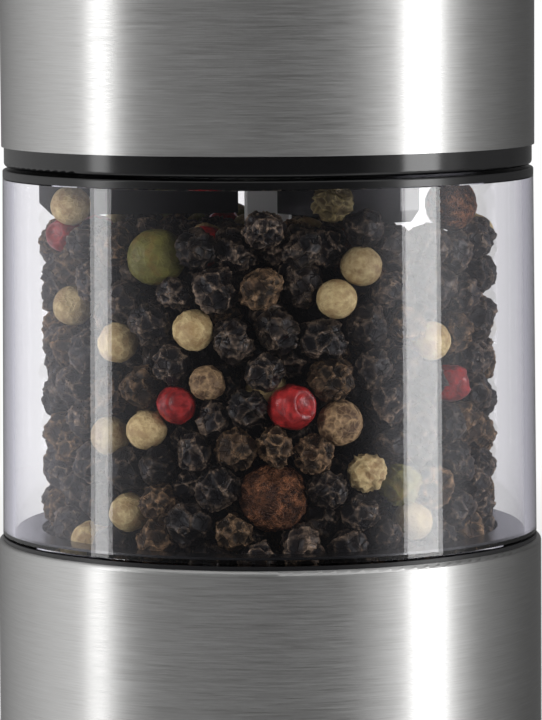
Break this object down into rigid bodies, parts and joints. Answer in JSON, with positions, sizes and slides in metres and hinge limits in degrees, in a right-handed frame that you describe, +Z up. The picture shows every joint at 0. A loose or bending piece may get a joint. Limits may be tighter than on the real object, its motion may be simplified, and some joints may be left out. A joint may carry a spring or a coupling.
{
  "type": "pepper mill",
  "caption": "Straight pepper mill with a brushed steel head and base, a clear chamber between them, a square drive shaft and a ceramic grinder with an adjusting dial underneath.",
  "frame": {"origin": "middle of the foot ring's underside, on the surface that the mill stands on", "axes": "+Z up the mill's axis, -Y towards the viewer"},
  "size_m": [0.0533, 0.0532, 0.1319],
  "materials": {
    "brushed_shell": "brushed round the axis",
    "bright_steel": "drawn steel, lightly polished",
    "black_moulding": "fine satin",
    "grey_moulding": "satin, glass-filled",
    "white_acetal": "smooth",
    "bearing_bronze": "machined",
    "clear_acrylic": "polished, clear",
    "grinder_ceramic": "fired, unglazed",
    "foot_rubber": "soft satin"
  },
  "bodies": {
    "base": {"base_shell": "brushed_shell", "base_core": "black_moulding", "foot_ring": "foot_rubber", "window_tube": "clear_acrylic", "tube_seal": "foot_rubber", "neck_spider": "black_moulding", "mill_housing": "grey_moulding", "grind_ring": "grinder_ceramic", "housing_screws": "bright_steel", "click_leaf": "bright_steel"},
    "dial": {"adjust_dial": "black_moulding", "snap_ring": "bright_steel"},
    "lifter": {"lift_nut": "grey_moulding", "thrust_pad": "bearing_bronze"},
    "shaft": {"drive_shaft": "bright_steel", "shaft_sleeve": "white_acetal", "shaft_clip": "bright_steel", "spring_seat": "bright_steel", "seat_clip": "bright_steel"},
    "burr": {"grind_cone": "grinder_ceramic", "cone_carrier": "grey_moulding", "feed_wings": "grey_moulding", "burr_spring": "bright_steel"},
    "head": {"head_shell": "brushed_shell", "head_core": "black_moulding", "head_ring": "black_moulding", "shaft_socket": "white_acetal", "grip_ring": "bright_steel", "head_screws": "bright_steel"}
  },
  "joints": [
    {"name": "grind_turn", "type": "hinge", "parent": "base", "child": "shaft", "pos_m": [0, 0, 0.0822], "axis": [0, 0, 1], "continuous": true},
    {"name": "head_lift", "type": "slide", "parent": "shaft", "child": "head", "axis": [0, 0, 1], "range_m": [0, 0.04]},
    {"name": "dial_turn", "type": "hinge", "parent": "base", "child": "dial", "pos_m": [0, 0, 0.006], "axis": [0, 0, 1], "range_deg": [0, 300]},
    {"name": "nut_slide", "type": "slide", "parent": "base", "child": "lifter", "axis": [0, 0, 1], "range_m": [0, 0.001]},
    {"name": "cone_slide", "type": "slide", "parent": "shaft", "child": "burr", "axis": [0, 0, 1], "range_m": [0, 0.001], "deforming": ["burr_spring"]}
  ],
  "couplings": [
    {"joint": "nut_slide", "follows": "dial_turn", "m_per_rad": 0.00019098},
    {"joint": "cone_slide", "follows": "dial_turn", "m_per_rad": 0.00019098}
  ]
}
